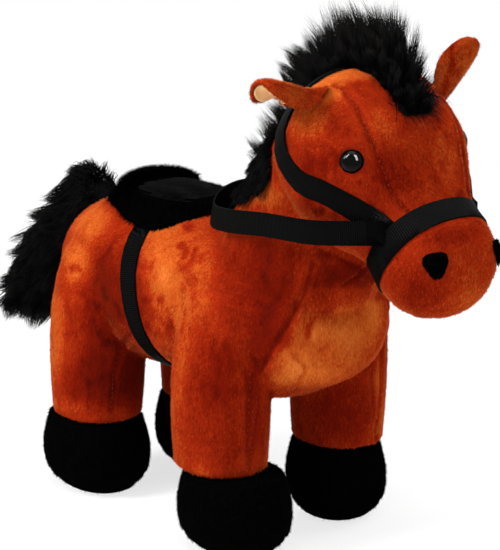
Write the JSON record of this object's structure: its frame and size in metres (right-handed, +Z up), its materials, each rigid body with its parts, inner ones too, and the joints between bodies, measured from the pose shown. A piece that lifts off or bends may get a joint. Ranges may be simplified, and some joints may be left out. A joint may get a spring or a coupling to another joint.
{
  "type": "plush horse",
  "caption": "Stuffed plush horse standing on its legs, with long-pile mane and tail, sewn-on saddle and ribbon bridle; ears, tail and rein loop move.",
  "frame": {"origin": "on the floor, under the middle of the length, in the plane that halves the body from side to side", "axes": "+Z up, the horse faces -Y, and its left side is +X"},
  "size_m": [0.1447, 0.4022, 0.2874],
  "materials": {
    "plush": "short chestnut pile",
    "black_plush": "short black pile",
    "long_pile": "shaggy black pile",
    "satin": "cream satin",
    "ribbon": "black grosgrain",
    "eye_plastic": "polished",
    "washer_plastic": "moulded",
    "woven_backing": "woven"
  },
  "bodies": {
    "horse": {"torso": "plush", "neck": "plush", "head": "plush", "leg_front_right": "plush", "hoof_front_right": "black_plush", "sole_front_right": "black_plush", "leg_front_left": "plush", "hoof_front_left": "black_plush", "sole_front_left": "black_plush", "leg_rear_right": "plush", "hoof_rear_right": "black_plush", "sole_rear_right": "black_plush", "leg_rear_left": "plush", "hoof_rear_left": "black_plush", "sole_rear_left": "black_plush", "eye_right": "eye_plastic", "eye_washer_right": "washer_plastic", "nostril_right": "black_plush", "eye_left": "eye_plastic", "eye_washer_left": "washer_plastic", "nostril_left": "black_plush", "mane_crown": "long_pile", "mane_nape": "long_pile", "mane_withers": "long_pile", "saddle_pad": "black_plush", "saddle_seat": "black_plush", "saddle_cantle": "black_plush", "girth": "ribbon", "noseband": "ribbon", "headpiece": "ribbon"},
    "ear_right": {"ear_outer_right": "plush", "ear_lining_right": "satin"},
    "ear_left": {"ear_outer_left": "plush", "ear_lining_left": "satin"},
    "reins": {"reins": "ribbon"},
    "tail_root": {"tail_tab": "woven_backing"},
    "tail": {"tail_backing": "woven_backing", "tail_pile": "long_pile"}
  },
  "joints": [
    {"name": "ear_right_bend", "type": "hinge", "parent": "horse", "child": "ear_right", "pos_m": [-0.0347, -0.12043, 0.24709], "axis": [-0.5117, 0.6329, -0.581], "range_deg": [-20, 30], "stiffness_Nm_per_rad": 0.03},
    {"name": "ear_left_bend", "type": "hinge", "parent": "horse", "child": "ear_left", "pos_m": [0.04306, -0.12419, 0.2366], "axis": [0.3737, 0.509, -0.7755], "range_deg": [-20, 30], "stiffness_Nm_per_rad": 0.03},
    {"name": "tail_swing", "type": "hinge", "parent": "horse", "child": "tail_root", "pos_m": [0, 0.09101, 0.15365], "axis": [0, 0, 1], "range_deg": [-25, 25], "stiffness_Nm_per_rad": 0.3},
    {"name": "tail_lift", "type": "hinge", "parent": "tail_root", "child": "tail", "pos_m": [0, 0.09801, 0.15365], "axis": [1, 0, 0], "range_deg": [-8, 35], "stiffness_Nm_per_rad": 2.5},
    {"name": "reins_lift", "type": "hinge", "parent": "horse", "child": "reins", "pos_m": [0, -0.16993, 0.18757], "axis": [1, 0, 0], "range_deg": [0, 30]}
  ]
}
